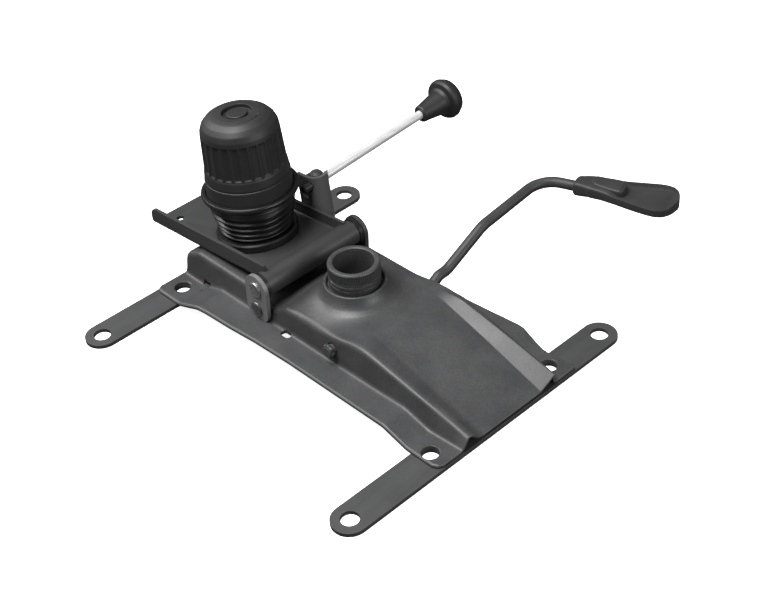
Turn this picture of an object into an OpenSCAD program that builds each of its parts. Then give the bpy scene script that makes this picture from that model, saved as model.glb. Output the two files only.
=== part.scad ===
/* [Cross bars] */
// Width of each cross bar
bar_w = 25; // [22:0.5:30]
// Thickness of each cross bar
bar_t = 3; // [2.5:0.1:4]
// Distance between the bolt holes along a bar
seat_x = 233; // [225:1:240]
// Distance between the two bars
seat_y = 260; // [255:1:265]
// Radius of the seat bolt holes
seat_hole_r = 6.2; // [4:0.1:6.5]

/* [Base plate] */
// Half width over the side flanges
flange_half = 65.5; // [64:0.5:68]
// Sheet thickness of the pressed parts
sheet = 2.5; // [2:0.1:3]
// Half spacing of the pad holes across the plate
pad_x = 56; // [55:0.5:57]
// Radius of the pad holes
pad_hole_r = 6; // [4:0.1:6]

/* [Gas lift socket] */
// Outer radius of the socket
socket_r = 18; // [17:0.1:18]
// Radius of the taper at the mouth
mouth_r = 14.25; // [13.5:0.05:14.5]

/* [Pivot] */
// Radius of the pivot axle
axle_r = 5; // [4:0.1:6]
// Outer radius of the pivot tube
tube_r = 9; // [8.5:0.1:9.5]

/* [Tray] */
// Half width over the tray's flanges
tray_half = 38.4; // [37:0.1:39]
// Height of the tray's flanges
tray_h = 14.5; // [12:0.5:17]
// Length of the tray behind the pivot
tray_len = 136; // [120:0.5:140]

/* [Tension knob] */
// Largest radius of the knob's skirt
skirt_r = 31.6; // [31:0.1:32]
// Number of flutes round the knob
flutes = 26; // [18:1:30]

/* [Lever] */
// Radius of the lever rod
lever_r = 4; // [3.5:0.1:4]

/* [Hidden] */
$fn = 72;
mid = 12.6;            // mid-plane of the mechanism, off the bars' centre
piv_y = 50;            // pivot axis
piv_z = 37.5;
tray_rest = -5;        // the tray falls to the rear at rest
pad_dx = 2.4;           // the pads sit a little to the left of the mechanism
ten_y = 105.5;         // tension axis at ten_z
ten_z = 31.3;
ten_lean = -3;
lev_y = -22.5;         // lever axis
lev_z = 21.8;
fz = 12;               // top of the side flanges
front_y = -141.5;
rear_y = 141.5;
slope = 17.3;          // slope of the front panel
post_x = 59.7;         // lock post
post_y = 37.6;
rod_z = 62.56;

// A (y, z) profile drawn out along X, and an (x, z) profile along Y.
module along_x(x0, x1) translate([x0, 0, 0]) rotate([90, 0, 90]) linear_extrude(height = x1 - x0) children();
module along_y(y0, y1) translate([0, y1, 0]) rotate([90, 0, 0]) linear_extrude(height = y1 - y0) children();
module both() {
    children();
    translate([2 * mid, 0, 0]) mirror([1, 0, 0]) children();
}
module tray_frame() translate([0, piv_y, piv_z]) rotate([tray_rest, 0, 0]) children();
module ten_frame() translate([mid, ten_y, ten_z]) rotate([ten_lean, 0, 0]) children();
module lock_frame() translate([post_x, 89, rod_z]) rotate([0, -3.75, 0]) children();
module paddle_frame() translate([187.3, -46.5, 52.3]) rotate([0, 0, -70.2]) children();

// ---- base ----
module bar(y) {
    translate([0, y, 0]) difference() {
        union() {
            translate([-seat_x / 2, -bar_w / 2, 0]) cube([seat_x, bar_w, bar_t]);
            for (s = [-1, 1]) translate([s * seat_x / 2, 0, 0]) cylinder(h = bar_t, r = bar_w / 2);
        }
        for (s = [-1, 1]) translate([s * seat_x / 2, 0, -1]) cylinder(h = bar_t + 2, r = seat_hole_r);
        for (s = [-1, 1]) translate([mid - pad_dx + s * pad_x, (y > 0 ? 1 : -1) * (128 - seat_y / 2), -1]) cylinder(h = bar_t + 2, r = pad_hole_r);
    }
}
module front_crossbar() color("#2a2b2e") bar(-seat_y / 2);
module rear_crossbar() color("#2a2b2e") bar(seat_y / 2);

module flange_side(outline, hole) {
    difference() {
        intersection() {
            along_x(mid + 42.5, mid + 76)
                polygon([[front_y, 3], [-113, 3], [-92, 9.5], [94, 9.5], [115, 3], [rear_y, 3],
                         [rear_y, 5.5], [115.6, 5.5], [94.6, fz], [-92.6, fz], [-113.6, 5.5], [front_y, 5.5]]);
            translate([mid, 0, 0]) linear_extrude(height = 20) polygon(outline);
        }
        for (y = [-128, 128]) translate([mid + hole, y, 0]) cylinder(h = 12, r = pad_hole_r);
        for (y = [20.8, 24.4]) translate([mid + 47.8, y, 8]) cylinder(h = 6, r = 2.5);
        translate([mid + 45.3, 20.8, 8]) cube([5, 3.6, 6]);
    }
}
// Outlines of the flanges, seen from above, from the mid-plane out.
right_flange = [[42, front_y], [63.4, front_y], [64.6, -140.3], [63.3, -119], [64.4, -108], [66.6, -95], [66.6, -88], [64.8, -66], [61.6, -18], [60.4, 8],
    [60.4, 88], [62, 96], [68, 114], [69.5, 120], [69.5, 136], [67.8, 139.8], [64, rear_y], [42, rear_y]];
left_flange = [[42, front_y], [60, front_y], [63.8, -139.8], [65.5, -136], [65.5, 0], [66.6, 34], [68.6, 60], [69.6, 84], [71.6, 104], [72.4, 118],
    [72.4, 137], [71, 140.2], [68, rear_y], [42, rear_y]];
// Rib beside the front panel, an open arch on the panel's slope.
module rib_side() {
    intersection() {
        translate([mid, front_y, 5.5]) rotate([slope, 0, 0]) along_y(-4, 100)
            polygon([[27, 0], [30.5, 1.2], [34.5, 5.6], [36.5, 6.2], [39.8, 6.2], [42.6, 4.8], [44.6, 1.5], [45, -4],
                     [42.5, -4], [42.2, 0.9], [41, 2.9], [39.2, 3.7], [37.1, 3.7], [36, 3.2], [32.3, -0.9], [30, -2.5], [27, -2.5]]);
        along_x(mid + 20, mid + 50) polygon([[front_y, 3], [-50, 3], [-50, 37.5], [-62, 37.5], [front_y, 15]]);
    }
}
module wall_side() {
    difference() {
        intersection() {
            union() {
                along_x(mid + 42.5, mid + 45) polygon([[front_y, 3], [-113, 3], [-92, 9.5], [-49, 9.5], [-49, 33], [-55, 30.5], [front_y, 3.4]]);
                along_x(mid + 42.5, mid + 45) polygon([[-50, 9.5], [94, 9.5], [115, 3], [139, 3], [rear_y, 6], [139.8, 21.6], [137, 24.4], [124, 29.6], [68, 29.6], [60, 22.5], [38, 22.5], [21, 29.6], [-8, 29.6], [-46, 35.2], [-50, 34]]);
            }
            translate([-100, front_y, 3]) cube([300, 300, 60]);
        }
        translate([mid + 40, lev_y, lev_z]) rotate([0, 90, 0]) cylinder(h = 10, r = 4.4);
        translate([mid + 40, 51.4, 20]) rotate([0, 90, 0]) cylinder(h = 10, r = 3.05);
        translate([mid + 40, 111, 5.7]) cube([6, 8, 3.2]);
    }
}
module base_plate() color("#303134") difference() {
    union() {
        both() { rib_side(); wall_side(); }
        flange_side(right_flange, pad_x - pad_dx);
        translate([2 * mid, 0, 0]) mirror([1, 0, 0]) flange_side(left_flange, pad_x + pad_dx);
        // front panel
        intersection() {
            translate([mid - 28, front_y, 5.5]) rotate([slope, 0, 0]) translate([0, -4, -2.5]) cube([56, 99.5, 2.5]);
            translate([mid - 50, front_y, 3]) cube([100, 200, 60]);
        }
        // raised front section and rear box, one folded sheet between the walls
        along_x(mid - 43, mid + 43)
            polygon([[-51, 33.7], [-50, 34], [-46, 35.2], [-8, 29.6], [21, 29.6], [38, 22.5], [60, 22.5], [68, 29.6], [124, 29.6], [137, 24.4], [139.8, 21.6], [rear_y, 6], [rear_y, 3],
                     [139, 3], [137.3, 20.4], [135.6, 22.1], [123, 27.1], [69, 27.1], [61, 20], [37.5, 20], [20.5, 27.1], [-8.2, 27.1], [-46, 32.7], [-50, 31.4], [-51, 31.1]]);
        difference() {
            translate([mid, 0, 0]) rotate_extrude() polygon([[socket_r + 0.05, 27.3], [40, 27.3], [46, 28.4], [46, 29.6], [41.5, 30.8], [36, 32.5], [30.5, 34.8], [26.6, 37.3], [24.2, 40], [22.6, 42.8], [21.9, 44.3], [20, 44.3], [19.4, 41.4], [socket_r + 0.05, 41]]);
            translate([-60, piv_y, piv_z]) rotate([0, 90, 0]) cylinder(h = 150, r = tube_r + 1.2);
            translate([-60, piv_y - tube_r - 1.2, 20]) cube([150, 60, 17.5]);
        }
    }
    translate([mid, 0, 20]) cylinder(h = 30, r = socket_r + 0.05);
    difference() {
        translate([mid, 0, 0]) rotate_extrude() polygon([[17, 18], [40.5, 18], [40.5, 27.9], [35, 30], [29.6, 32.3], [25.3, 35], [22.6, 38], [20.6, 39.2], [20.5, 30], [20.5, 27.3], [17, 27.3]]);
        translate([mid - 50, 30, 10]) cube([100, 40, 30]);
    }
    translate([mid, ten_y - 0.2, 20]) cylinder(h = 14, r = 7.5);
    for (s = [-1, 1]) translate([mid - pad_dx + s * pad_x, 128, 0]) cylinder(h = 12, r = pad_hole_r);
    for (s = [-1, 1]) translate([mid + s * 44.2, 51.4, 20]) rotate([0, 90, 0]) cylinder(h = 3.6, r = 3.05, center = true);
}

module gaslift_socket() color("#2c2d30") translate([mid, 0, 0]) rotate_extrude()
    polygon([[13.39, 24.5], [17, 24.5], [socket_r, 25.5], [socket_r, 46], [17.4, 46.4], [17.4, 46.9], [18.3, 47.3], [18.3, 49.6], [17.5, 50], [17.5, 50.4], [18.3, 50.8], [18.3, 59.3], [17.6, 60], [14.9, 60], [mouth_r, 59.2]]);

module ear(x) difference() {
    intersection() {
        along_x(x, x + 3) offset(r = 11) polygon([[49.9, piv_z], [50.1, piv_z], [51.1, 20], [50.9, 20]]);
        translate([-100, 0, 12.2]) cube([300, 100, 60]);
    }
    translate([x - 1, piv_y, piv_z]) rotate([0, 90, 0]) cylinder(h = 5, r = axle_r + 0.02);
    translate([x - 1, 51.4, 20]) rotate([0, 90, 0]) cylinder(h = 5, r = 3.02);
}
module ear_left() color("#2c2d30") ear(mid - 48.5);
module ear_right() color("#2c2d30") ear(mid + 45.5);

// Lower rivet of an ear, drawn on the right side.
module rivet() translate([mid, 51.4, 20]) rotate([0, 90, 0]) rotate_extrude()
    polygon([[0, 42.45], [3, 42.45], [3, 45.05], [5, 45.05], [5, 45.45], [3, 45.45], [3, 48.52], [5.6, 48.52], [5.6, 49.1], [4.8, 49.8], [2.4, 50.2], [0, 50.2]]);
module rivet_right() color("#c9c6bd") rivet();
module rivet_left() color("#c9c6bd") translate([2 * mid, 0, 0]) mirror([1, 0, 0]) rivet();

module pivot_axle() color("#c9c6bd") translate([mid, piv_y, piv_z]) rotate([0, 90, 0]) rotate_extrude()
    polygon([[0, -50.4], [2.8, -50.4], [4.8, -50], [5.8, -49.3], [5.8, -48.52], [axle_r, -48.52], [axle_r, 48.52], [5.8, 48.52], [5.8, 49.3], [4.8, 50], [2.8, 50.4], [0, 50.4]]);

module lock_bracket() color("#2c2d30") {
    tray_frame() translate([54, 29, -2.2]) cube([10.2, 17, 3]);
    translate([58.2, 79, 12]) cube([3, 15, 22]);
    translate([58.2, 79, 12]) cube([17, 13.5, 3]);
}
module lock_post() color("#232427") tray_frame() translate([post_x, post_y, 0]) difference() {
    union() {
        translate([0, 0, 0.82]) cylinder(h = 32.2, r = 5.35);
        translate([-4.9, 0, 0.82]) cube([9.8, 10.6, 29.6]);
        translate([0, 0, 33]) rotate_extrude() polygon([[0, 0], [5.35, 0], [4.9, 1.5], [3.6, 2.8], [1.8, 3.4], [0, 3.5]]);
    }
    rod_bore();
}
// The lock rod's bore through the post, in the post's own frame.
module rod_bore() translate([-post_x, -post_y, 0]) rotate([-tray_rest, 0, 0]) translate([0, -piv_y, -piv_z])
    lock_frame() translate([-12, 0, 0]) rotate([0, 90, 0]) cylinder(h = 24, r = 3.45);

module bolt_anchor() color("#3a3b3e") difference() {
    translate([mid - 17, 90, 22.1]) cube([34, 28, 5]);
    ten_frame() translate([0, 0, -14]) cylinder(h = 20, r = 6.04);
}
module tension_bolt() color("#b9b9b6") ten_frame() {
    translate([0, 0, -11]) cylinder(h = 98, r = 6);
    translate([0, 0, -17.5]) cylinder(h = 7.1, r = 10.9, $fn = 6);
}

// A wire coil about +Z: points follow the helix, the tube has six sides.
module coil(mean_r, wire_r, turns, h, steps) {
    n = round(turns * steps);
    k = 6;
    pts = [for (i = [0:n]) let (a = 360 * i / steps, z = h * i / n)
        for (j = [0:k - 1]) let (b = 360 * j / k)
            [(mean_r + wire_r * cos(b)) * cos(a), (mean_r + wire_r * cos(b)) * sin(a), z + wire_r * sin(b)]];
    sides = [for (i = [0:n - 1]) for (j = [0:k - 1])
        [i * k + j, i * k + (j + 1) % k, (i + 1) * k + (j + 1) % k, (i + 1) * k + j]];
    caps = [[for (j = [k - 1:-1:0]) j], [for (j = [0:k - 1]) n * k + j]];
    polyhedron(points = pts, faces = concat(sides, caps), convexity = 12);
}
module lever_return_spring() color("#8d8d8a") translate([mid - 36, lev_y, lev_z]) rotate([0, 90, 0]) coil(4.9, 0.8, 6, 12, 16);

// ---- tilting tray ----
module channel(w, h, t, r) difference() {
    union() {
        translate([-w, r]) square([2 * w, h - r]);
        translate([-w + r, 0]) square([2 * (w - r), h]);
        for (s = [-1, 1]) translate([s * (w - r), r]) circle(r = r);
    }
    union() {
        translate([-w + t, r]) square([2 * (w - t), h]);
        translate([-w + r, t]) square([2 * (w - r), h]);
        for (s = [-1, 1]) translate([s * (w - r), r]) circle(r = r - t);
    }
}
module tilt_plate() color("#303134") tray_frame() difference() {
    union() {
        intersection() {
            translate([mid, 0, -0.7]) along_y(8, tray_len) channel(tray_half, tray_h, sheet, 4);
            along_x(-60, 80) union() {
                translate([0, -2]) square([tray_len, 8.3]);
                translate([0, -2]) square([tray_len - 8, 20]);
                translate([tray_len - 8, 6.3]) circle(r = 8);
            }
        }
        both() along_x(mid + tray_half - sheet, mid + tray_half) polygon([[0.4, 8], [0.4, 13], [1.2, 13.8], [9, 13.8], [9, 3.3], [12, -0.7], [9, -6], [2, -9]]);
    }
    // the right flange is lower
    translate([mid + 30, -5, 10.4]) cube([20, 160, 10]);
    translate([0, 0, 0]) rotate([0, 90, 0]) translate([0, 0, -60]) cylinder(h = 160, r = tube_r + 0.02);
    translate([mid, 55.7, -3]) cylinder(h = 8, r = 8.5);
    translate([mid - 23.4, 121.6, -3]) cylinder(h = 8, r = 3.1);
}
module pivot_tube() color("#2c2d30") translate([mid - 42.1, piv_y, piv_z]) rotate([0, 90, 0]) difference() {
    cylinder(h = 84.2, r = tube_r);
    translate([0, 0, -1]) cylinder(h = 90, r = 7.02);
}
module bush() translate([mid, piv_y, piv_z]) rotate([0, 90, 0]) difference() {
    union() {
        translate([0, 0, 20]) cylinder(h = 23, r = 7);
        translate([0, 0, 42.2]) cylinder(h = 3.2, r = tube_r + 1);
    }
    translate([0, 0, 10]) cylinder(h = 50, r = axle_r + 0.05);
}
module bush_right() color("#151516") bush();
module bush_left() color("#151516") translate([2 * mid, 0, 0]) mirror([1, 0, 0]) bush();

// Curled strip on the tray's right flange, open to the rear, with an arc slot for the rod.
module lock_guide() color("#303134") tray_frame() difference() {
    translate([0, 0, 1.5]) linear_extrude(height = 33.3) union() {
        translate([mid + tray_half, post_y]) square([sheet, 12]);
        difference() {
            translate([post_x, post_y]) circle(r = post_x - mid - tray_half);
            translate([post_x, post_y]) circle(r = post_x - mid - tray_half - sheet);
            translate([post_x - 20, post_y]) square([40, 20]);
            translate([post_x, post_y - 4.4]) square([20, 20]);
        }
    }
    along_x(mid + tray_half - 2, post_x - 2) union() {
        for (k = [37.2, 25.2]) rotate(k) translate([46.1, 0]) circle(r = 3.8);
        intersection() {
            difference() { circle(r = 49.9); circle(r = 42.3); }
            polygon([[0, 0], 80 * [cos(37.2), sin(37.2)], 80 * [cos(25.2), sin(25.2)]]);
        }
    }
}
module lower_spring_seat() color("#161617") tray_frame() translate([mid, 55.7, 1.82]) rotate_extrude()
    polygon([[10, 0], [29.4, 0], [30.2, 0.8], [30.2, 5.2], [29.2, 6.3], [24.3, 6.7], [24.3, 2.7], [12.5, 2.7], [12.5, 6.4], [11.8, 7.1], [10, 7.1]]);
module tension_spring() color("#8d8d8a") ten_frame() translate([0, 0, 8.9]) coil(17.6, 2.6, 6.5, 54.2, 20);

// ---- tension adjuster ----
module upper_spring_seat() color("#8d8d8a") ten_frame() translate([0, 0, 66]) difference() {
    cylinder(h = 3, r = 22);
    translate([0, 0, -1]) cylinder(h = 5, r = 6.4);
}
module bellows() color("#131314") ten_frame() rotate_extrude()
    polygon([[25.2, 10.9], [26.6, 11.2], [27.6, 12.8], [26, 14.6], [28.4, 17], [26.6, 19.4], [29.6, 22.2], [27.7, 24.6], [30.7, 27.4], [28.9, 29.8], [31.6, 33], [30.4, 35.6],
             [31.8, 37.4], [33.6, 39], [35.3, 40.8], [35.6, 42.4], [34.8, 43.6], [32, 43.6], [32, 41.4], [30.8, 39.6], [28.6, 36.8], [28.8, 34.4], [29.9, 33], [27.2, 30.6], [27.3, 28.8], [28.7, 27.4],
             [26, 25.4], [26.1, 23.6], [27.6, 22.2], [24.8, 20.2], [25, 18.4], [26.4, 17], [24.2, 15.2], [24.4, 13.8], [25.3, 12.9]]);
module tension_knob() color("#141415") ten_frame() {
    rotate_extrude() polygon([[28.4, 41.2], [31.2, 41.2], [skirt_r, 42], [31.1, 54], [30.5, 54.4], [30.5, 55], [30.8, 55.4], [30.1, 61.4], [29.6, 62.1], [28, 62.1], [28, 88.9], [28.3, 88.9], [27.9, 92], [26.4, 95.8], [23.4, 99.2], [19.4, 101.5], [15.6, 102.5], [12, 102.8], [10.7, 102.8],
        [10.7, 99.8], [0, 99.8], [0, 95], [6.5, 95], [6.5, 81.2], [13, 81.2], [13, 69.6], [16, 69.6], [16, 93.5], [22.4, 92.5], [24, 88], [24, 64], [27.4, 61]]);
    translate([0, 0, 62]) linear_extrude(height = 27) difference() {
        circle(r = 29.5);
        circle(r = 26);
        for (i = [0:flutes - 1]) rotate((i + 0.5) * 360 / flutes) translate([31.7, 0]) circle(r = 3.1);
    }
}
module knob_nut() color("#a9a9a6") ten_frame() translate([0, 0, 69.3]) difference() {
    union() {
        cylinder(h = 2, r = 12.6);
        cylinder(h = 11.6, r = 11, $fn = 6);
    }
    translate([0, 0, -1]) cylinder(h = 14, r = 6.05);
}
module knob_cap() color("#1b1b1c") ten_frame() translate([0, 0, 99.82]) rotate_extrude() polygon([[0, 0], [7.3, 0], [7.3, 1.6], [6.8, 2.1], [0, 2.3]]);

// ---- lock ----
module lock_rod() color("#c9c9cc") lock_frame() rotate([0, 90, 0]) translate([0, 0, -14.6]) rotate_extrude()
    polygon([[0, 0], [2.6, 0], [3.4, 0.8], [3.4, 134.6], [0, 134.6]]);
module lock_rod_knob() color("#151516") lock_frame() rotate([0, 90, 0]) rotate_extrude()
    polygon([[3.45, 106], [6.2, 106], [6.7, 106.9], [9.8, 126.4], [10.8, 128.4], [14.6, 129.4], [16, 131.6], [16, 133.8], [14.6, 137.8], [11.4, 140.9], [6, 143], [0, 143.6], [0, 120.1], [3.45, 120.1]]);

// ---- height lever ----
// Corners of the rod's centre line beyond the wall, and the radius of each bend.
lever_path = [[61, lev_y, lev_z], [64, lev_y, lev_z], [70, lev_y, 25.5], [78.3, lev_y, 25.8], [115.6, lev_y, 43.9], [178.65, lev_y, 52.3], [196.1, -70.96, 52.3]];
lever_bend = [0, 5, 5, 14, 25, 22, 0];
function unit(v) = v / norm(v);
// Points along the arc that rounds corner b between a and c.
function corner(a, b, c, r, n) = let (u = unit(a - b), v = unit(c - b), h = acos(u * v) / 2, t = r / tan(h),
    m = b + unit(u + v) * r / sin(h), s = unit(b + u * t - m), e = unit(b + v * t - m), w = acos(s * e))
    [for (i = [0:n]) m + r * (sin(w * (1 - i / n)) * s + sin(w * i / n) * e) / sin(w)];
function path_points(p, r) = [p[0], for (i = [1:len(p) - 2]) each corner(p[i - 1], p[i], p[i + 1], r[i], 7), p[len(p) - 1]];
function tangents(q) = [for (i = [0:len(q) - 1]) i == 0 ? unit(q[1] - q[0]) : i == len(q) - 1 ? unit(q[i] - q[i - 1]) : unit(unit(q[i] - q[i - 1]) + unit(q[i + 1] - q[i]))];
// Normals carried along the path so that the tube doesn't twist.
function carry(t, i, n) = i >= len(t) ? [] : let (m = unit(n - t[i] * (n * t[i]))) concat([m], carry(t, i + 1, m));
module tube(q, r, k) {
    t = tangents(q);
    n = carry(t, 0, [0, 0, 1]);
    pts = [for (i = [0:len(q) - 1]) for (j = [0:k - 1]) q[i] + r * (cos(360 * j / k) * n[i] + sin(360 * j / k) * cross(t[i], n[i]))];
    polyhedron(points = pts, convexity = 6, faces = concat(
        [for (i = [0:len(q) - 2]) for (j = [0:k - 1]) [i * k + j, (i + 1) * k + j, (i + 1) * k + (j + 1) % k, i * k + (j + 1) % k]],
        [[for (j = [0:k - 1]) j], [for (j = [k - 1:-1:0]) (len(q) - 1) * k + j]]));
}
module lever_rod() color("#161617") {
    translate([mid - 49.4, lev_y, lev_z]) rotate([0, 90, 0]) cylinder(h = 62 + 49.4 - mid, r = lever_r);
    tube(path_points(lever_path, lever_bend), lever_r - 0.02, 28);
}
module lever_clip() color("#161617") translate([mid - 48.6, lev_y, lev_z]) rotate([0, 90, 0]) difference() {
    cylinder(h = 2.8, r = 5.2);
    translate([0, 0, -1]) cylinder(h = 5, r = lever_r + 0.03);
}
module lever_tab() color("#2c2d30") difference() {
    translate([mid - 8, lev_y - 3, lev_z - 6]) cube([16, 32, 4]);
    translate([mid - 20, lev_y, lev_z]) rotate([0, 90, 0]) cylinder(h = 40, r = lever_r + 0.02);
}
module paddle_outline(g) union() {
    polygon([[8, -5.8 + g], [22, -6.6 + g], [34, -8.6 + g], [48, -11.2 + g], [63, -13 + g], [70 - g, -11], [75.6 - g, 0], [76 - g, 11], [68, 21 - g], [58, 20.8 - g], [47.5, 18.2 - g], [36, 15.4 - g], [27, 13.8 - g], [11, 11.8 - g], [4, 8 - g], [2, 2]]);
    translate([7, 0]) circle(r = 5.8 - g);
    translate([65, -3]) circle(r = 10.2 - g);
    translate([66, 10.6]) circle(r = 10.5 - g);
}
module lever_paddle() color("#17171a") paddle_frame() difference() {
    union() {
        translate([0, 0, -4.2]) linear_extrude(height = 7.6) paddle_outline(0);
        rotate([0, 90, 0]) translate([0, 0, -3]) cylinder(h = 31, r1 = 6.3, r2 = 5.3);
    }
    rotate([0, 90, 0]) translate([0, 0, -4]) cylinder(h = 30.3, r = lever_r + 0.03);
    translate([57, 4, 0.2]) cylinder(h = 5, r1 = 9, r2 = 14);
    translate([12, 4.8, 1.4]) cube([24, 6.4, 6]);
}
module paddle_insert() color("#101012") paddle_frame() translate([12.1, 4.9, 1.42]) cube([23.8, 6.2, 5]);

base_plate();
front_crossbar();
rear_crossbar();
gaslift_socket();
ear_left();
ear_right();
rivet_left();
rivet_right();
pivot_axle();
lock_bracket();
lock_post();
bolt_anchor();
tension_bolt();
lever_return_spring();
tilt_plate();
pivot_tube();
bush_left();
bush_right();
lock_guide();
lower_spring_seat();
tension_spring();
upper_spring_seat();
bellows();
tension_knob();
knob_nut();
knob_cap();
lock_rod();
lock_rod_knob();
lever_rod();
lever_clip();
lever_tab();
lever_paddle();
paddle_insert();
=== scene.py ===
import math

import bmesh
import bpy
import numpy as np
from mathutils import Matrix, Vector


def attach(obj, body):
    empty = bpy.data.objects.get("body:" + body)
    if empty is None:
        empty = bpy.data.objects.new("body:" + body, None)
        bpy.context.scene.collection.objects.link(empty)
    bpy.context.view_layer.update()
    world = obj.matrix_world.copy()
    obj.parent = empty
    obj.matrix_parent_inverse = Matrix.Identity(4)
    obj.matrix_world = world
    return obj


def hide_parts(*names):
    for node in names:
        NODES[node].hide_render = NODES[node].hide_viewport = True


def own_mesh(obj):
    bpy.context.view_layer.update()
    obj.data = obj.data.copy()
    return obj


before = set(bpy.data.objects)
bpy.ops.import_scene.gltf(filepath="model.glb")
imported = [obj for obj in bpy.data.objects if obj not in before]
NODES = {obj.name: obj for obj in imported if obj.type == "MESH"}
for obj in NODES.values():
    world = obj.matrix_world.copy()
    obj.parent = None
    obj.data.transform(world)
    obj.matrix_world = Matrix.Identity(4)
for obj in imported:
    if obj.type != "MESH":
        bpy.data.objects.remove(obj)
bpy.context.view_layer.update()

MM = 0.001
MID = 12.6


# ---------------------------------------------------------------- frames
def place(pos, rx=0.0, ry=0.0, rz=0.0):
    m = Matrix.Translation(Vector(pos))
    return m @ Matrix.Rotation(math.radians(rz), 4, "Z") @ Matrix.Rotation(math.radians(ry), 4, "Y") @ Matrix.Rotation(math.radians(rx), 4, "X")


WORLD = Matrix.Identity(4)
TRAY = place((0, 50, 37.5), rx=-5)
TEN = place((MID, 105.5, 31.3), rx=-3)
LOCK = place((59.7, 89, 62.56), ry=-3.75) @ Matrix.Rotation(math.radians(90), 4, "Y")
PADDLE = place((187.3, -46.5, 52.3), rz=-70.2)
AXLE = place((MID, 50, 37.5), ry=90)


# ---------------------------------------------------------------- materials
def nodes_of(name, base, metallic=0.0, rough=0.5, coat=0.0, spec=0.5):
    mat = bpy.data.materials.new(name)
    mat.use_nodes = True
    nt = mat.node_tree
    b = nt.nodes["Principled BSDF"]
    b.inputs["Base Color"].default_value = (*base, 1)
    b.inputs["Metallic"].default_value = metallic
    b.inputs["Roughness"].default_value = rough
    b.inputs["Specular IOR Level"].default_value = spec
    b.inputs["Coat Weight"].default_value = coat
    b.inputs["Coat Roughness"].default_value = 0.25
    return mat, nt, b


def noise(nt, scale, detail=3.0, rough=0.5, coord=None):
    n = nt.nodes.new("ShaderNodeTexNoise")
    n.inputs["Scale"].default_value = scale
    n.inputs["Detail"].default_value = detail
    n.inputs["Roughness"].default_value = rough
    nt.links.new(coord.outputs["Object"], n.inputs["Vector"])
    return n


def ramp(nt, source, a, b, lo=0.35, hi=0.65):
    r = nt.nodes.new("ShaderNodeMapRange")
    r.inputs["From Min"].default_value = lo
    r.inputs["From Max"].default_value = hi
    r.inputs["To Min"].default_value = a
    r.inputs["To Max"].default_value = b
    nt.links.new(source, r.inputs["Value"])
    return r.outputs["Result"]


def colour_mix(nt, factor, a, b):
    m = nt.nodes.new("ShaderNodeMix")
    m.data_type = "RGBA"
    m.inputs["A"].default_value = (*a, 1)
    m.inputs["B"].default_value = (*b, 1)
    nt.links.new(factor, m.inputs["Factor"])
    return m.outputs["Result"]


def surface(name, dark, light, r_lo, r_hi, grain, depth, cloud=35.0, metallic=0.0, coat=0.0, spec=0.5, edge=0.0, bevel=0.0004):
    """A coat or plastic with fine grain, cloudy roughness and convex edges made paler as a painted edge highlight."""
    mat, nt, b = nodes_of(name, dark, metallic, (r_lo + r_hi) / 2, coat, spec)
    tc = nt.nodes.new("ShaderNodeTexCoord")
    big = noise(nt, cloud, 4.0, 0.55, tc)
    fine = noise(nt, grain, 2.0, 0.6, tc)
    col = colour_mix(nt, ramp(nt, big.outputs["Fac"], 0.0, 1.0), dark, light)
    speck = nt.nodes.new("ShaderNodeMix")
    speck.data_type = "RGBA"
    speck.blend_type = "MULTIPLY"
    nt.links.new(col, speck.inputs["A"])
    nt.links.new(colour_mix(nt, ramp(nt, fine.outputs["Fac"], 0.0, 1.0), (0.82, 0.82, 0.82), (1.1, 1.1, 1.1)), speck.inputs["B"])
    speck.inputs["Factor"].default_value = 1.0
    out = speck.outputs["Result"]
    # Pointiness lightens convex edges in the base colour: a painted edge highlight.
    if edge > 0:
        geo = nt.nodes.new("ShaderNodeNewGeometry")
        edge_highlight = nt.nodes.new("ShaderNodeMix")
        edge_highlight.data_type = "RGBA"
        nt.links.new(ramp(nt, geo.outputs["Pointiness"], 0.0, edge, 0.53, 0.62), edge_highlight.inputs["Factor"])
        nt.links.new(out, edge_highlight.inputs["A"])
        edge_highlight.inputs["B"].default_value = (min(1, light[0] * 3 + 0.03), min(1, light[1] * 3 + 0.03), min(1, light[2] * 3 + 0.03), 1)
        out = edge_highlight.outputs["Result"]
    nt.links.new(out, b.inputs["Base Color"])
    nt.links.new(ramp(nt, big.outputs["Fac"], r_lo, r_hi), b.inputs["Roughness"])
    bump = nt.nodes.new("ShaderNodeBump")
    bump.inputs["Strength"].default_value = 0.6
    bump.inputs["Distance"].default_value = depth
    nt.links.new(fine.outputs["Fac"], bump.inputs["Height"])
    if bevel > 0:
        bv = nt.nodes.new("ShaderNodeBevel")
        bv.samples = 4
        bv.inputs["Radius"].default_value = bevel
        nt.links.new(bv.outputs["Normal"], bump.inputs["Normal"])
    nt.links.new(bump.outputs["Normal"], b.inputs["Normal"])
    return mat


def metal(name, colour, r_lo, r_hi, streak=(400.0, 400.0, 30.0), depth=0.00002, anis=0.0):
    mat, nt, b = nodes_of(name, colour, 1.0, (r_lo + r_hi) / 2)
    tc = nt.nodes.new("ShaderNodeTexCoord")
    mp = nt.nodes.new("ShaderNodeMapping")
    mp.inputs["Scale"].default_value = streak
    nt.links.new(tc.outputs["Object"], mp.inputs["Vector"])
    n = nt.nodes.new("ShaderNodeTexNoise")
    n.inputs["Scale"].default_value = 1.0
    n.inputs["Detail"].default_value = 4.0
    nt.links.new(mp.outputs["Vector"], n.inputs["Vector"])
    nt.links.new(colour_mix(nt, ramp(nt, n.outputs["Fac"], 0, 1), tuple(c * 0.82 for c in colour), colour), b.inputs["Base Color"])
    nt.links.new(ramp(nt, n.outputs["Fac"], r_lo, r_hi), b.inputs["Roughness"])
    bump = nt.nodes.new("ShaderNodeBump")
    bump.inputs["Strength"].default_value = 0.5
    bump.inputs["Distance"].default_value = depth
    nt.links.new(n.outputs["Fac"], bump.inputs["Height"])
    nt.links.new(bump.outputs["Normal"], b.inputs["Normal"])
    return mat


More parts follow.
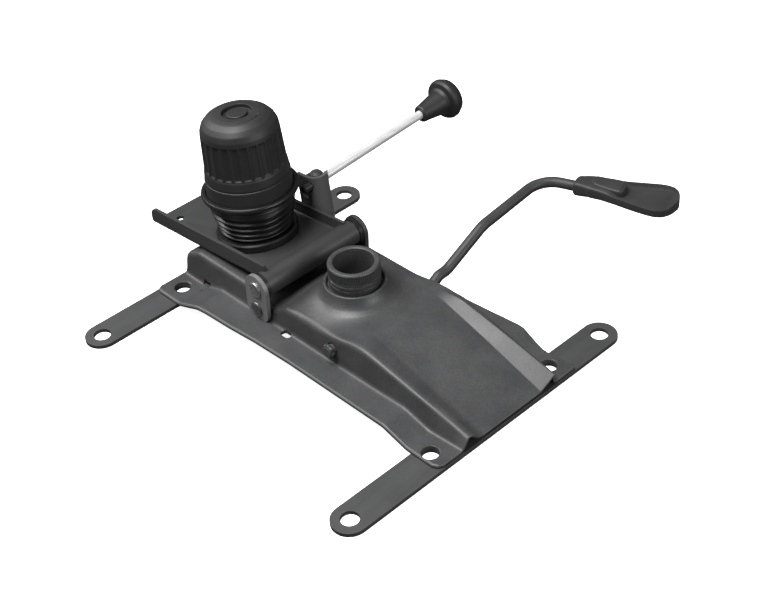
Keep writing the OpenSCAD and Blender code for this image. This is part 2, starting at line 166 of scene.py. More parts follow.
STEEL = surface("coated_steel", (0.039, 0.0395, 0.0410), (0.052, 0.0525, 0.0540), 0.43, 0.51, 760.0, 0.00009, edge=0.35, spec=0.5)
STEEL_DK = surface("coated_bar", (0.034, 0.0345, 0.0355), (0.042, 0.0425, 0.0435), 0.44, 0.54, 1000.0, 0.00006, edge=0.35, bevel=0.0006, spec=0.35)
BAR = surface("coated_crossbar", (0.019, 0.0193, 0.0200), (0.025, 0.0253, 0.0260), 0.46, 0.56, 760.0, 0.00008, edge=0.35, bevel=0.0006, spec=0.35)
EAR = surface("coated_ear", (0.070, 0.0705, 0.0715), (0.088, 0.0885, 0.0895), 0.34, 0.44, 1000.0, 0.00006, edge=0.35, spec=0.5)
TUBE = surface("coated_tube", (0.0190, 0.0190, 0.0196), (0.0230, 0.0230, 0.0236), 0.38, 0.46, 1000.0, 0.00003, edge=0.2, spec=0.5)
TRAY_MAT = surface("coated_tray", (0.015, 0.0153, 0.0160), (0.020, 0.0203, 0.0210), 0.36, 0.44, 1000.0, 0.00006, edge=0.35, spec=0.45)
KNOB = surface("knob_plastic", (0.0125, 0.0125, 0.0128), (0.0160, 0.0160, 0.0163), 0.50, 0.58, 1500.0, 0.00004, edge=0.12, bevel=0.0003, spec=0.5)
GRIP = surface("grip_plastic", (0.0300, 0.0300, 0.0312), (0.0380, 0.0380, 0.0392), 0.44, 0.54, 1200.0, 0.00006, edge=0.2, bevel=0.0003, spec=0.35)
RUBBER = surface("bellows_rubber", (0.0035, 0.0035, 0.0035), (0.0055, 0.0055, 0.0055), 0.34, 0.42, 700.0, 0.00003, edge=0.1, bevel=0.0002, spec=0.6)
BUSH = surface("bush_plastic", (0.0060, 0.0060, 0.0063), (0.0090, 0.0090, 0.0093), 0.35, 0.45, 1500.0, 0.00003, edge=0.1, bevel=0.0003, spec=0.45)
ZINC = metal("zinc_plate", (0.46, 0.455, 0.44), 0.30, 0.46, (500.0, 500.0, 500.0), 0.00006)
ZINC_DK = metal("dark_zinc", (0.20, 0.20, 0.195), 0.34, 0.50, (500.0, 500.0, 500.0), 0.00006)
SPRING = metal("spring_steel", (0.22, 0.22, 0.22), 0.28, 0.42)
CHROME = metal("chrome_rod", (0.88, 0.88, 0.885), 0.26, 0.34, (60.0, 900.0, 900.0), 0.000005)
CHROME.node_tree.nodes["Principled BSDF"].inputs["Metallic"].default_value = 0.4


def dull_tip(mat, x0, x1):
    """The rod's base colour is dark at its inner end and blends back to its own colour between x0 and x1 metres."""
    nt = mat.node_tree
    b = nt.nodes["Principled BSDF"]
    source = b.inputs["Base Color"].links[0].from_socket
    tc = nt.nodes.new("ShaderNodeTexCoord")
    sep = nt.nodes.new("ShaderNodeSeparateXYZ")
    nt.links.new(tc.outputs["Object"], sep.inputs["Vector"])
    mix = nt.nodes.new("ShaderNodeMix")
    mix.data_type = "RGBA"
    mix.inputs["A"].default_value = (0.035, 0.035, 0.036, 1)
    nt.links.new(ramp(nt, sep.outputs["X"], 0.0, 1.0, x0, x1), mix.inputs["Factor"])
    nt.links.new(source, mix.inputs["B"])
    nt.links.new(mix.outputs["Result"], b.inputs["Base Color"])


dull_tip(CHROME, 0.0640, 0.0665)


# ---------------------------------------------------------------- mesh helpers
def make(name, verts, faces, body, mat, matrix=WORLD, smooth=True, angle=None):
    me = bpy.data.meshes.new(name)
    pts = [matrix @ Vector(v) for v in verts]
    me.from_pydata([(p.x * MM, p.y * MM, p.z * MM) for p in pts], [], [list(f) for f in faces])
    me.validate()
    bm = bmesh.new()
    bm.from_mesh(me)
    bmesh.ops.recalc_face_normals(bm, faces=bm.faces)
    bm.to_mesh(me)
    bm.free()
    if smooth:
        me.polygons.foreach_set("use_smooth", [True] * len(me.polygons))
        if angle:
            me.set_sharp_from_angle(angle=math.radians(angle))
    me.materials.append(mat)
    o = bpy.data.objects.new(name, me)
    bpy.context.scene.collection.objects.link(o)
    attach(o, body)
    return o


def rounded(points, radii, n=5):
    """An open polyline in (r, z) with each inner corner rounded by its radius."""
    out = [np.array(points[0], float)]
    for i in range(1, len(points) - 1):
        a, b, c = (np.array(p, float) for p in points[i - 1:i + 2])
        u, v = (a - b), (c - b)
        lu, lv = np.linalg.norm(u), np.linalg.norm(v)
        u, v = u / lu, v / lv
        half = math.acos(float(np.clip(u @ v, -1, 1))) / 2
        r = radii[i] if hasattr(radii, "__len__") else radii
        if r <= 0 or half > math.pi / 2 - 0.01:
            out.append(b)
            continue
        t = min(r / math.tan(half), 0.48 * lu, 0.48 * lv)
        p0, p1 = b + u * t, b + v * t
        for k in range(n + 1):
            s = k / n
            out.append((1 - s) ** 2 * p0 + 2 * s * (1 - s) * b + s ** 2 * p1)
    out.append(np.array(points[-1], float))
    return out


def lathe(name, profile, body, mat, matrix, n=96, closed=True, modulate=None, angle=50):
    """Turns an (r, z) profile about the frame's Z. modulate(r, z, angle) gives the radius. A profile that ends on the axis closes itself."""
    verts, faces, rings = [], [], []
    for r, z in profile:
        if r < 1e-6:
            rings.append([len(verts)])
            verts.append((0, 0, z))
            continue
        ring = []
        for j in range(n):
            a = 2 * math.pi * j / n
            rr = modulate(r, z, a) if modulate else r
            ring.append(len(verts))
            verts.append((rr * math.cos(a), rr * math.sin(a), z))
        rings.append(ring)
    pairs = list(zip(rings, rings[1:]))
    if closed and len(rings[0]) > 1 and len(rings[-1]) > 1:
        pairs.append((rings[-1], rings[0]))
    for a, b in pairs:
        for j in range(n):
            k = (j + 1) % n
            if len(a) == 1 and len(b) == 1:
                continue
            if len(a) == 1:
                faces.append((a[0], b[j], b[k]))
            elif len(b) == 1:
                faces.append((a[j], b[0], a[k]))
            else:
                faces.append((a[j], b[j], b[k], a[k]))
    return make(name, verts, faces, body, mat, matrix, angle=angle)


def grid(name, P, body, mat, matrix=WORLD, wrap_u=False, caps=False, keep=None, angle=None):
    """P is (rows, columns, 3). keep(row, column) says which cells stay."""
    h, w = P.shape[:2]
    faces = []
    for i in range(h - 1):
        for j in range(w if wrap_u else w - 1):
            if keep is None or keep(i, j):
                k = (j + 1) % w
                faces.append((i * w + j, i * w + k, (i + 1) * w + k, (i + 1) * w + j))
    if caps:
        faces.append(tuple(range(w))[::-1])
        faces.append(tuple((h - 1) * w + j for j in range(w)))
    return make(name, P.reshape(-1, 3), faces, body, mat, matrix, angle=angle)


def sweep(name, path, radius, body, mat, sides=40, matrix=WORLD):
    path = [Vector(p) for p in path]
    t = [(path[min(i + 1, len(path) - 1)] - path[max(i - 1, 0)]).normalized() for i in range(len(path))]
    n = Vector((0, 0, 1))
    n = (n - t[0] * n.dot(t[0])).normalized()
    rows = []
    for i, p in enumerate(path):
        n = (n - t[i] * n.dot(t[i])).normalized()
        b = t[i].cross(n)
        r = radius(i / (len(path) - 1)) if callable(radius) else radius
        rows.append([p + (n * math.cos(2 * math.pi * j / sides) + b * math.sin(2 * math.pi * j / sides)) * r for j in range(sides)])
    return grid(name, np.array(rows, float), body, mat, matrix, wrap_u=True, caps=True, angle=50)


def fillet_path(points, radii, n=10):
    out = [Vector(points[0])]
    for i in range(1, len(points) - 1):
        a, b, c = Vector(points[i - 1]), Vector(points[i]), Vector(points[i + 1])
        u, v = (a - b).normalized(), (c - b).normalized()
        half = u.angle(v) / 2
        t = radii[i] / math.tan(half)
        m = b + (u + v).normalized() * radii[i] / math.sin(half)
        s, e = (b + u * t - m), (b + v * t - m)
        w = s.angle(e)
        for k in range(n + 1):
            q = k / n
            out.append(m + (s * math.sin(w * (1 - q)) + e * math.sin(w * q)) / math.sin(w))
    out.append(Vector(points[-1]))
    return out


def cutter(name, verts_or_prim, matrix=WORLD):
    kind, args = verts_or_prim
    bm = bmesh.new()
    if kind == "cyl":
        bmesh.ops.create_cone(bm, cap_ends=True, segments=48, radius1=args[0] * MM, radius2=args[0] * MM, depth=args[1] * MM)
    elif kind == "oval":
        r, half, depth = args
        ring = [(r * math.cos(a), r * math.sin(a) + (half if math.sin(a) > 0 else -half)) for a in (2 * math.pi * (i + 0.5) / 40 for i in range(40))]
        low = [bm.verts.new((x * MM, y * MM, -depth / 2 * MM)) for x, y in ring]
        high = [bm.verts.new((x * MM, y * MM, depth / 2 * MM)) for x, y in ring]
        bm.faces.new(low[::-1])
        bm.faces.new(high)
        for i in range(40):
            bm.faces.new((low[i], low[(i + 1) % 40], high[(i + 1) % 40], high[i]))
    else:
        bmesh.ops.create_cube(bm, size=1.0)
        bmesh.ops.scale(bm, vec=Vector(args) * MM, verts=bm.verts)
    me = bpy.data.meshes.new(name)
    m = matrix.copy()
    m.translation = m.translation * MM
    bm.transform(m)
    bm.to_mesh(me)
    bm.free()
    return me


def cut(obj, meshes):
    """Takes the solids out of obj and keeps the result in its own mesh."""
    bm = bmesh.new()
    for me in meshes:
        bm.from_mesh(me)
    joined = bpy.data.meshes.new("cutters")
    bm.to_mesh(joined)
    bm.free()
    tool = bpy.data.objects.new("cutters", joined)
    bpy.context.scene.collection.objects.link(tool)
    mod = obj.modifiers.new("holes", "BOOLEAN")
    mod.operation = "DIFFERENCE"
    mod.solver = "EXACT"
    mod.object = tool
    bake(obj)
    bpy.data.objects.remove(tool)


def bake(obj, angle=None):
    """Applies obj's modifiers."""
    bpy.context.view_layer.update()
    dg = bpy.context.evaluated_depsgraph_get()
    me = bpy.data.meshes.new_from_object(obj.evaluated_get(dg))
    obj.modifiers.clear()
    obj.data = me
    if angle:
        me.set_sharp_from_angle(angle=math.radians(angle))


def thick(obj, t, offset=-1.0, angle=None):
    s = obj.modifiers.new("thick", "SOLIDIFY")
    s.thickness = t * MM
    s.offset = offset
    bake(obj)


def smooth_line(y, points, sigma):
    """A line through points with soft corners."""
    xs, zs = zip(*points)
    fine = np.linspace(min(xs) - 30, max(xs) + 30, 1500)
    v = np.interp(fine, xs, zs)
    lo, hi = xs[0], xs[-1]
    s0 = (zs[1] - zs[0]) / (xs[1] - xs[0])
    s1 = (zs[-1] - zs[-2]) / (xs[-1] - xs[-2])
    v = np.where(fine < lo, zs[0] + s0 * (fine - lo), v)
    v = np.where(fine > hi, zs[-1] + s1 * (fine - hi), v)
    step = fine[1] - fine[0]
    k = np.arange(-int(4 * sigma / step), int(4 * sigma / step) + 1) * step
    g = np.exp(-k ** 2 / (2 * sigma ** 2))
    v = np.convolve(v, g / g.sum(), "same")
    return np.interp(y, fine, v)


def sstep(x, a, b):
    t = np.clip((x - a) / (b - a), 0, 1)
    return t * t * (3 - 2 * t)


# ---------------------------------------------------------------- base plate, one pressed sheet
FRONT, REAR = -141.5, 141.5
ys = np.unique(np.concatenate([np.linspace(FRONT, FRONT + 3, 7), np.arange(FRONT + 4.2, -50, 1.25), np.arange(-50, 38, 0.75), np.arange(38, REAR - 12, 1.25), np.linspace(REAR - 12, REAR, 22)]))
ZC = [(FRONT, 5.5), (-50, 34.0), (-44, 35.0), (-38, 34.3), (-8, 29.6), (21, 29.6), (38, 22.5), (60, 22.5), (68, 29.6), (124, 29.6), (137, 24.4), (139.8, 21.6), (REAR, 6.0)]
ZF = [(FRONT, 5.5), (-113.6, 5.5), (-92.6, 12), (94.6, 12), (115.6, 5.5), (REAR, 5.5)]
sharp = sstep(ys, 80, 100)
broad = sstep(ys, -80, -62) * (1 - sstep(ys, -6, 10))
zc = smooth_line(ys, ZC, 2.4) * (1 - sharp) + smooth_line(ys, ZC, 0.8) * sharp
zc = zc * (1 - broad) + smooth_line(ys, ZC, 7.0) * broad
zf = smooth_line(ys, ZF, 1.6)
EDGE = {1: ([-141.5, -140.3, -119, -108, -95, -88, -66, -18, 8, 88, 96, 114, 120, 136, 139.8, 141.5], [63.4, 64.6, 63.3, 64.4, 66.6, 66.6, 64.8, 61.6, 60.4, 60.4, 62, 68, 69.5, 69.5, 67.8, 64]),
        -1: ([-141.5, -139.8, -136, 0, 34, 60, 84, 104, 118, 137, 140.2, 141.5], [60, 63.8, 65.5, 65.5, 66.6, 68.6, 69.6, 71.6, 72.4, 72.4, 71, 68])}


def section(y, c, f, side):
    """Half cross-section from the middle out: (u, z) with a fixed number of points. The left rib is a round arch and the right one a ramp with a crisp edge."""
    edge = float(np.interp(y, *EDGE[side]))
    if side > 0:
        rise = float(np.interp(y, [FRONT, -95, -62, -48, -42], [6.2, 5.4, 4.4, 1.2, 0.0]))
        foot = float(np.interp(y, [FRONT, -95, -60, -40], [30.6, 32.0, 32.4, 33.0]))
        crest = float(np.interp(y, [FRONT, -95, -60, -40], [44.0, 42.2, 40.2, 38.0]))
        s = c + rise
        lip = s - 0.30 * (45.0 - crest) * min(1.0, rise / 2)
        h = max(lip - f, 0.01)
        q = [(0, c), (foot, c), (crest, s), (45.0, lip), (45.4, f), (edge, f)]
        rad = [0, 1.6, 1.2, min(2.4, 0.5 * h + 0.2), min(2.6, 0.4 * h + 0.3), 0]
    else:
        rise = float(np.interp(y, [FRONT, -95, -52, -30], [7.0, 4.6, 1.8, 0.0]))
        inner = float(np.interp(y, [FRONT, -53, -30], [33.4, 37.6, 38.6]))
        outer = float(np.interp(y, [FRONT, -53, -30], [37.8, 42.0, 43.0]))
        foot = float(np.interp(y, [FRONT, -100, -60], [43.6, 44.6, 45.0]))
        s = c + rise
        h = max(s - f, 0.01)
        q = [(0, c), (26.0, c), (inner, s), (outer, s), (foot, f), (edge, f)]
        rad = [0, 9.0, 8.0, min(8.5, 0.8 * h + 0.4), min(3.6, 0.4 * h + 0.3), 0]
    seg = [38, 6, 6, 9, 10]
    arcs = 7
    out = []
    prev = np.array(q[0], float)
    for i in range(1, 5):
        a, b, d = prev, np.array(q[i], float), np.array(q[i + 1], float)
        u, v = a - b, d - b
        lu, lv = max(np.linalg.norm(u), 1e-6), max(np.linalg.norm(v), 1e-6)
        u, v = u / lu, v / lv
        half = math.acos(float(np.clip(u @ v, -1, 1))) / 2
        t = min(rad[i] / max(math.tan(half), 1e-3), 0.45 * lv, 0.9 * lu) if half < 1.555 else 0.3
        t = max(t, 0.05)
        p0, p1 = b + u * t, b + v * t
        for k in range(seg[i - 1]):
            out.append(a + (p0 - a) * k / seg[i - 1])
        for k in range(arcs):
            w = k / arcs
            out.append((1 - w) ** 2 * p0 + 2 * w * (1 - w) * b + w ** 2 * p1)
        prev = p1
    last = np.array(q[5], float)
    for k in range(seg[4] + 1):
        out.append(prev + (last - prev) * k / seg[4])
    return np.array(out)


rows = []
for i, y in enumerate(ys):
    left = [(MID - u, y, z) for u, z in section(y, zc[i], zf[i], -1)[::-1]]
    right = [(MID + u, y, z) for u, z in section(y, zc[i], zf[i], 1)[1:]]
    rows.append(left + right)
P = np.array(rows)
R = np.hypot(P[..., 0] - MID, P[..., 1])
U = np.abs(P[..., 0] - MID)

HILL = [(20.0, 46.0), (21.9, 44.3), (22.6, 42.8), (24.2, 39.8), (26.6, 37.0), (30.5, 34.2), (36.0, 31.6), (41.5, 29.2), (46.0, 26.8), (56.0, 20.0)]
dip = np.interp(P[..., 1], ys, np.maximum(0, 29.6 - zc)) * (P[..., 1] > 0)
D = smooth_line(R.ravel(), HILL, 0.5).reshape(R.shape) - 0.85 * dip
k = 2.2
soft = k * np.logaddexp(P[..., 2] / k, D / k)
inside = sstep(56 - R, 0, 12) * np.clip((44.5 - U) / 5, 0, 1)
P[..., 2] += (soft - P[..., 2]) * inside
P[..., 2] += 2.0 * np.exp(-((P[..., 0] + 29.0) / 4.5) ** 2 - ((P[..., 1] - 28.5) / 5.0) ** 2) * (U < 44.6)
hole = R < 22.4
plate = grid("base_plate_skin", P, "base", STEEL, keep=lambda i, j: not (hole[i, j] and hole[i + 1, j] and hole[i, j + 1] and hole[i + 1, j + 1]))
thick(plate, 2.5, offset=1.0 if plate.data.polygons[0].normal.z < 0 else -1.0)
cuts = []
for sx in (-1, 1):
    for y in (-128, 128):
        cuts.append(cutter("c", ("cyl", (6.0, 14)), place((10.2 + sx * 56, y, 4))))
    cuts.append(cutter("c", ("cyl", (4.5, 12)), place((MID + sx * 44, -22.5, 21.8), ry=90)))
    cuts.append(cutter("c", ("box", (12, 8, 3.2)), place((MID + sx * 45, 115, 7.3))))
    cuts.append(cutter("c", ("oval", (2.5, 1.8, 10)), place((MID + sx * 47.8, 22.6, 12))))
cuts.append(cutter("c", ("cyl", (7.5, 20)), place((MID, 105.3, 28))))
cut(plate, cuts)
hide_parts("base_plate")

lip = rounded([(18.05, 40.2), (18.05, 41.4), (19.5, 41.5), (20.1, 44.2), (21.9, 44.5), (22.9, 42.3), (24.2, 39.6), (22.4, 39.4), (18.05, 40.2)], [0, 0, 0.5, 0.7, 0.9, 1.2, 0.2, 0.3, 0], 5)[:-1]
boss = lathe("socket_boss_lip", lip, "base", STEEL, place((MID, 0, 0)), n=120)

# ---------------------------------------------------------------- gas-lift socket with its knurled band
def knurl(r, z, a):
    if r > 17.7 and 50.9 < z < 58.7:
        w = max(0.0, min(1, (z - 50.9) / 0.4, (58.7 - z) / 0.4))
        return r - 0.50 * w * (0.5 - 0.5 * math.cos(72 * a)) ** 1.5
    if r > 17.7 and 47.2 < z < 49.7:
        return r + 0.10 * math.sin(37 * a) * math.sin(23 * a + 3 * z) - 0.05
    return r


prof = rounded([(13.4, 24.5), (17, 24.5), (18, 25.5), (18, 46), (17.4, 46.4), (17.4, 46.9), (18.3, 47.3), (18.3, 49.6), (17.4, 50), (17.4, 50.4), (18.3, 50.8), (18.3, 58.9), (17.6, 59.8), (17.1, 60), (15.0, 60), (14.25, 59.4), (13.9, 44), (13.4, 24.5)],
               [0, .3, .3, .2, .2, .2, .4, .4, .2, .2, .2, .5, .5, .4, .4, .4, 0, 0], 3)[:-1]
extra = []
for a, b in zip(prof, prof[1:] + prof[:1]):
    extra.append(a)
    if a[0] > 17.8 and b[0] > 17.8 and b[1] - a[1] > 5:
        for t in (0.02, 0.05, 0.1, 0.3, 0.5, 0.7, 0.9, 0.95, 0.98):
            extra.append(a + (b - a) * t)
sock = lathe("socket_turned", extra, "base", STEEL, place((MID, 0, 0)), n=512, modulate=knurl, angle=60)
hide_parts("gaslift_socket")


# ---------------------------------------------------------------- rivet heads on the ears
def rivet_head(name, y, z, x, side, r, h, body, mat, cross):
    prof = rounded([(0, h * 0.52), (r * 0.30, h * 0.55), (r * 0.44, h * 0.96), (r * 0.66, h), (r * 0.95, h * 0.62), (r, h * 0.3), (r, -0.3), (0, -0.3)], [0, .3, .4, .8, .5, .3, .1, 0], 4)

    def stake(rr, zz, a):
        wob = 0.030 * math.cos(5 * a + 0.4) + 0.018 * math.cos(11 * a)
        if cross and rr < r * 0.72:
            wob += 0.22 * math.cos(4 * a)
        return rr * (1 + wob * (1 if rr < r * 0.9 else 0.5))
    return lathe(name, prof, body, mat, place((x, y, z), ry=90 * side), n=96, modulate=stake, closed=False, angle=35)


for side, tag in ((-1, "left"), (1, "right")):
    x = MID + side * 48.5
    rivet_head(f"axle_head_{tag}", 50, 37.5, x, side, 5.8, 1.9, "base", ZINC, False)
    rivet_head(f"lower_rivet_{tag}", 51.4, 20, x, side, 5.6, 1.7, "base", ZINC_DK, True)

# ---------------------------------------------------------------- bolt, spring and other inner CAD nodes keep their shape
# ear_left and ear_right are one part: ear_right's darker tray coat beside ear_left's paler ear coat is painted shade.
for n, m in {"front_crossbar": BAR, "rear_crossbar": BAR, "ear_left": EAR, "ear_right": TRAY_MAT, "rivet_left": ZINC_DK, "rivet_right": ZINC_DK, "pivot_axle": ZINC,
             "lock_bracket": STEEL, "lock_post": STEEL, "bolt_anchor": STEEL, "tension_bolt": ZINC, "lever_return_spring": SPRING, "pivot_tube": TUBE, "bush_left": BUSH, "bush_right": BUSH,
             "lock_guide": STEEL, "lower_spring_seat": RUBBER, "tension_spring": SPRING, "upper_spring_seat": ZINC, "knob_nut": ZINC, "knob_cap": KNOB, "lock_rod": CHROME,
             "lever_clip": ZINC_DK, "lever_tab": STEEL, "tilt_plate": TRAY_MAT}.items():
    o = NODES[n]
    o.data.materials.clear()
    o.data.materials.append(m)

# ---------------------------------------------------------------- tension knob
FL = 26
pk = rounded([(27.4, 41.2), (31.0, 41.2), (31.6, 42.0), (31.1, 54.0), (30.5, 54.4), (30.5, 55.0), (30.8, 55.4), (30.1, 61.4), (29.7, 62.2), (28.3, 88.9), (27.9, 92.0), (26.4, 95.8), (23.4, 99.2), (19.4, 101.5), (15.6, 102.5), (12.0, 102.8), (10.8, 102.8), (10.7, 99.9), (0, 99.8)],
             [0, .4, .6, .2, .2, .2, .2, .3, .3, 2, 3, 4, 4, 4, 3, 1.0, .3, .3, 0], 4)
dense = []
for a, b in zip(pk, pk[1:]):
    m = max(1, int(abs(b[1] - a[1]) / (0.5 if a[1] > 61 and b[1] < 90 else 1.0)))
    dense += [a + (b - a) * t / m for t in range(m)]
dense.append(pk[-1])


def fluted(r, z, a):
    """Wide shallow flutes with narrow ridges between them and squared ends."""
    if z < 62.4 or z > 89.6 or r < 26:
        return r
    w = float(sstep(z, 62.7, 63.9) * (1 - sstep(z, 87.6, 88.8)))
    t = (FL * a / (2 * math.pi) + 0.5) % 1.0 - 0.5
    wall = 1 - float(sstep(abs(t), 0.31, 0.39))
    bowl = 0.85 + 0.25 * (1 - min(1.0, abs(t) / 0.35) ** 2)
    return r - w * wall * bowl


knob = lathe("tension_knob_shell", [np.array(p, float) for p in ((0, 95), (22.4, 92.5), (24, 88), (24, 64), (27.4, 61))] + dense, "knob", KNOB, TEN, n=FL * 20, closed=False, modulate=fluted, angle=55)
arrow = []
for start in (-20, 160):
    arc = [Vector((16.6 * math.cos(math.radians(start + t)), 16.6 * math.sin(math.radians(start + t)), 102.32)) for t in range(0, 131, 5)]
    arrow.append(sweep(f"knob_arc_{start + 20}", arc, 0.34, "knob", KNOB, 10, matrix=TEN))
    e = math.radians(start + 134)
    tip = [(16.6 * math.cos(e + 0.16), 16.6 * math.sin(e + 0.16)), (14.6 * math.cos(e), 14.6 * math.sin(e)), (18.4 * math.cos(e), 18.4 * math.sin(e))]
    vs = [(x, y, 101.9) for x, y in tip] + [(x * 0.985, y * 0.985, 102.58) for x, y in tip]
    arrow.append(make(f"knob_arrow_{start + 20}", vs, [(0, 1, 2), (3, 5, 4), (0, 3, 4, 1), (1, 4, 5, 2), (2, 5, 3, 0)], "knob", KNOB, TEN, smooth=False))
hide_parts("tension_knob")

# ---------------------------------------------------------------- bellows
pb = rounded([(22.6, 6.9), (24.2, 6.9), (24.6, 10.6), (27.8, 12.8), (24.6, 14.8), (28.6, 17.0), (25.0, 19.5), (29.8, 22.2), (26.0, 24.7), (30.9, 27.4), (27.2, 30.0), (31.8, 33.0), (29.2, 35.8), (31.4, 37.4), (33.6, 39.0), (35.4, 40.6), (35.7, 42.4), (34.8, 43.7), (32.2, 43.7), (32.2, 41.6), (30.6, 39.2), (28.0, 35.8),
              (30.4, 33.0), (26.0, 30.0), (29.4, 27.4), (24.8, 24.7), (28.2, 22.2), (23.8, 19.5), (27.0, 17.0), (23.4, 14.8), (26.0, 12.8), (22.6, 12.0)],
             [0, .3, .6, .55, .7, .55, .7, .55, .7, .55, .7, .6, .8, .8, .6, .8, .9, .7, .3, .5, 1, .7, .5, .7, .5, .7, .5, .7, .5, .7, .4, 0], 5)
bel = lathe("bellows_folds", pb, "adjuster", RUBBER, TEN, n=144, angle=70)
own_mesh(bel)
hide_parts("bellows")

# ---------------------------------------------------------------- tension spring, pressed together by the tilt
turns = [(17.6 * math.cos(math.radians(18 * i)), 17.6 * math.sin(math.radians(18 * i)), 8.9 + 54.2 * i / 130) for i in range(131)]
coil = sweep("tension_spring_coil", [Vector(t) for t in turns], 2.6, "adjuster", SPRING, 14, matrix=TEN)
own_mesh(coil)
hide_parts("tension_spring")

# ---------------------------------------------------------------- lock rod's knob
pl = rounded([(3.45, 106.0), (6.0, 106.0), (6.7, 107.0), (7.5, 113), (9.8, 126.4), (11.2, 128.6), (14.8, 129.6), (16.0, 132.0), (15.9, 134.8), (13.6, 139.4), (8.6, 142.6), (0, 143.6)], [0, .5, .8, 4, 1.5, 1.5, 1.5, 1.5, 2, 3, 4, 0], 5)
lk = lathe("lock_knob_moulded", [np.array(p) for p in ((0, 120.0), (3.45, 119.9))] + pl, "lock", KNOB, LOCK, n=96, closed=False, angle=50)
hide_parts("lock_rod_knob")

# ---------------------------------------------------------------- lever rod
path = [(MID - 49.4, -22.5, 21.8), (64, -22.5, 21.8), (70, -22.5, 25.5), (78.3, -22.5, 25.8), (115.6, -22.5, 43.9), (178.65, -22.5, 52.3), (196.1, -70.96, 52.3)]
pts = fillet_path(path, [0, 5, 5, 14, 25, 22, 0], 14)
rod = sweep("lever_rod_bent", pts, 4.0, "lever", STEEL_DK, 44)
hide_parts("lever_rod")
clip = lathe("lever_clip_star", rounded([(3.9, 0), (5.3, 0), (5.4, 1.6), (4.9, 2.6), (3.9, 2.8)], [0, .3, .5, .3, 0], 4), "lever", STEEL_DK, place((MID - 45.9, -22.5, 21.8), ry=-90), n=96,
             modulate=lambda r, z, a: r * (1 + (0.05 * math.cos(8 * a) if r > 4.3 else 0)), angle=40)
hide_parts("lever_clip")

# ---------------------------------------------------------------- paddle grip
def paddle_sections():
    st = [(0.4, 0.4, 5.2, 4.4), (1.0, 0.5, 6.2, 5.5), (3, 0.9, 6.7, 5.9), (6, 1.5, 7.3, 5.9), (11, 2.9, 8.9, 5.4), (22, 3.3, 9.9, 4.7), (34, 3.2, 11.8, 4.2), (47.5, 3.5, 14.7, 4.0), (58, 3.9, 16.9, 3.9), (64, 3.95, 17.2, 3.9), (69, 4.2, 15.8, 3.9), (73, 4.3, 11.8, 3.8), (75.4, 4.7, 6.3, 3.6), (76.2, 4.7, 2.6, 3.2)]
    a = np.array(st)
    xs = np.concatenate([np.linspace(0.4, 3, 6)[:-1], np.linspace(3, 60, 42)[:-1], np.linspace(60, 76.2, 28)])
    from_x = lambda c: np.interp(xs, a[:, 0], a[:, c])
    return xs, from_x(1), from_x(2), from_x(3)


xs, yc, hw, hz = paddle_sections()


def smooth_arr(v, n=2):
    for _ in range(n):
        w = v.copy()
        w[1:-1] = (v[:-2] + 2 * v[1:-1] + v[2:]) / 4
        v = w
    return v


yc, hw, hz = smooth_arr(yc), smooth_arr(hw, 3), smooth_arr(hz)
rows = []
NP = 72
for x, c, w, h in zip(xs, yc, hw, hz):
    ring = []
    for j in range(NP):
        a = 2 * math.pi * (j + 0.5) / NP
        e = 0.42 if x < 14 else 0.32
        px = math.copysign(abs(math.cos(a)) ** e, math.cos(a))
        pz = math.copysign(abs(math.sin(a)) ** e, math.sin(a))
        y = c + w * px
        z = h * pz
        if pz > 0:
            rim = min(1.0, max(0.0, (1 - abs(px)) / 0.13))
            d = float(sstep(x, 26, 40) * (1 - sstep(x, 69, 75.5)))
            z -= 4.6 * d * rim * rim * (3 - 2 * rim)
        else:
            z += 0.8 * abs(px) ** 4 - 1.3 * float(sstep(x, 12, 50))
        ring.append((x, y, z))
    rows.append(ring)
pad = grid("lever_paddle_moulded", np.array(rows), "lever", GRIP, PADDLE, wrap_u=True, caps=True, angle=50)
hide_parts("lever_paddle")

ins_rows = []
it = np.array([(11.3, 5.6, 1.4), (12.2, 5.2, 3.2), (15, 4.4, 5.0), (20, 3.9, 5.9), (26, 3.4, 6.6), (32, 3.0, 7.0), (35.2, 2.9, 6.7), (36.6, 2.9, 5.6), (37.4, 2.9, 3.4)])
for x in np.concatenate([np.linspace(11.3, 15, 8)[:-1], np.linspace(15, 34, 14)[:-1], np.linspace(34, 37.4, 9)]):
    c, w = np.interp(x, it[:, 0], it[:, 1]), np.interp(x, it[:, 0], it[:, 2])
    top = np.interp(x, [11.3, 15, 35, 37.4], [5.5, 5.9, 6.1, 5.0])
    ring = []
    for j in range(32):
        a = 2 * math.pi * (j + 0.5) / 32
        px = math.copysign(abs(math.cos(a)) ** 0.5, math.cos(a))
        pz = math.copysign(abs(math.sin(a)) ** 0.4, math.sin(a))
        ring.append((x, c + w * px, (top + 0.4) / 2 + (top - 0.4) / 2 * pz))
    ins_rows.append(ring)
ins = grid("paddle_insert_moulded", np.array(ins_rows), "lever", GRIP, PADDLE, wrap_u=True, caps=True, angle=60)
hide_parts("paddle_insert")

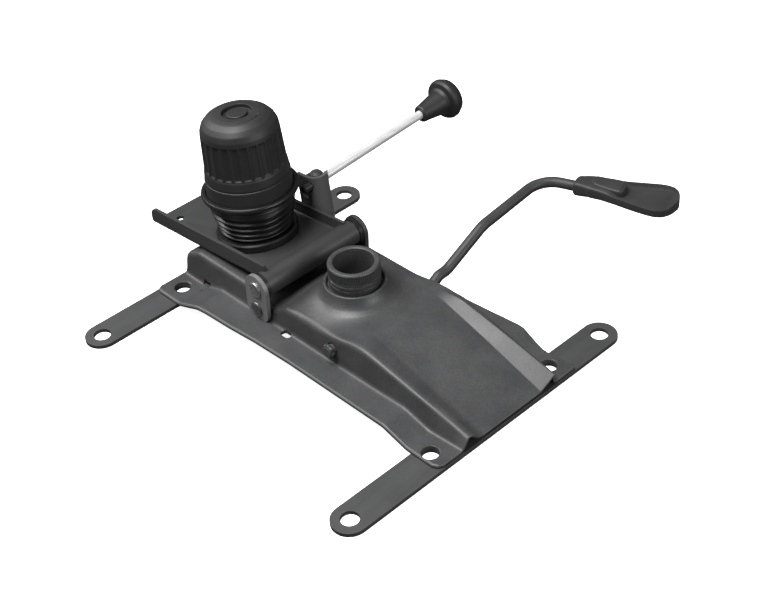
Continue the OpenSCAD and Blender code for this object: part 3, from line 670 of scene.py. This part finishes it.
# ---------------------------------------------------------------- camera, light, floor
Rm = np.array([[0.7199426, -0.69106728, -0.06409888], [-0.46620433, -0.41312368, -0.78229301], [0.51413634, 0.59308924, -0.61960389]])
Cm = Vector((-0.47991, -0.60008, 0.63183))
cam_data = bpy.data.cameras.new("camera")
cam = bpy.data.objects.new("camera", cam_data)
bpy.context.scene.collection.objects.link(cam)
rot = Matrix((Rm[0], -Rm[1], -Rm[2])).transposed()
cam.matrix_world = Matrix.Translation(Cm) @ rot.to_4x4()
cam_data.sensor_fit = "HORIZONTAL"
cam_data.sensor_width = 36.0
cam_data.lens = 36.0 * 1423.15 / 776.0
cam_data.clip_end = 50
bpy.context.scene.camera = cam


def area(name, loc, target, size, power, colour=(1, 1, 1), size_y=None):
    d = bpy.data.lights.new(name, "AREA")
    d.energy = power
    d.color = colour
    d.shape = "RECTANGLE"
    d.size = size
    d.size_y = size_y or size
    o = bpy.data.objects.new(name, d)
    bpy.context.scene.collection.objects.link(o)
    o.location = loc
    o.rotation_euler = (Vector(target) - Vector(loc)).to_track_quat("-Z", "Y").to_euler()
    return o


area("key", (-0.36, 0.17, 1.24), (0, 0, 0.03), 0.62, 25)
area("front", (0.25, -1.25, 0.55), (0, 0, 0.03), 0.7, 8.5, size_y=0.5)
area("rear", (-0.35, 1.1, 0.9), (0, 0.05, 0.05), 0.5, 9)
area("left", (-1.25, 0.05, 0.55), (0, 0, 0.03), 0.5, 0.8, size_y=0.4)

world = bpy.data.worlds.new("studio")
bpy.context.scene.world = world
world.use_nodes = True
world.node_tree.nodes["Background"].inputs["Color"].default_value = (1, 1, 1, 1)
world.node_tree.nodes["Background"].inputs["Strength"].default_value = 0.12

fl = bpy.data.meshes.new("floor")
fl.from_pydata([(-6, -6, 0), (6, -6, 0), (6, 6, 0), (-6, 6, 0)], [], [(0, 1, 2, 3)])
floor = bpy.data.objects.new("floor", fl)
bpy.context.scene.collection.objects.link(floor)
fmat, fnt, fb = nodes_of("floor", (0.9, 0.9, 0.9), 0, 0.9, 0, 0.1)
tc = fnt.nodes.new("ShaderNodeTexCoord")
nz = noise(fnt, 3.0, 2.0, 0.5, tc)
fnt.links.new(colour_mix(fnt, nz.outputs["Fac"], (0.90, 0.90, 0.90), (0.93, 0.93, 0.93)), fb.inputs["Base Color"])
fb.inputs["Emission Color"].default_value = (1, 1, 1, 1)
fb.inputs["Emission Strength"].default_value = 0.9
fl.materials.append(fmat)
floor.visible_diffuse = False
floor.visible_glossy = False
bpy.context.scene.view_settings.view_transform = "Standard"
bpy.context.scene.view_settings.look = "None"
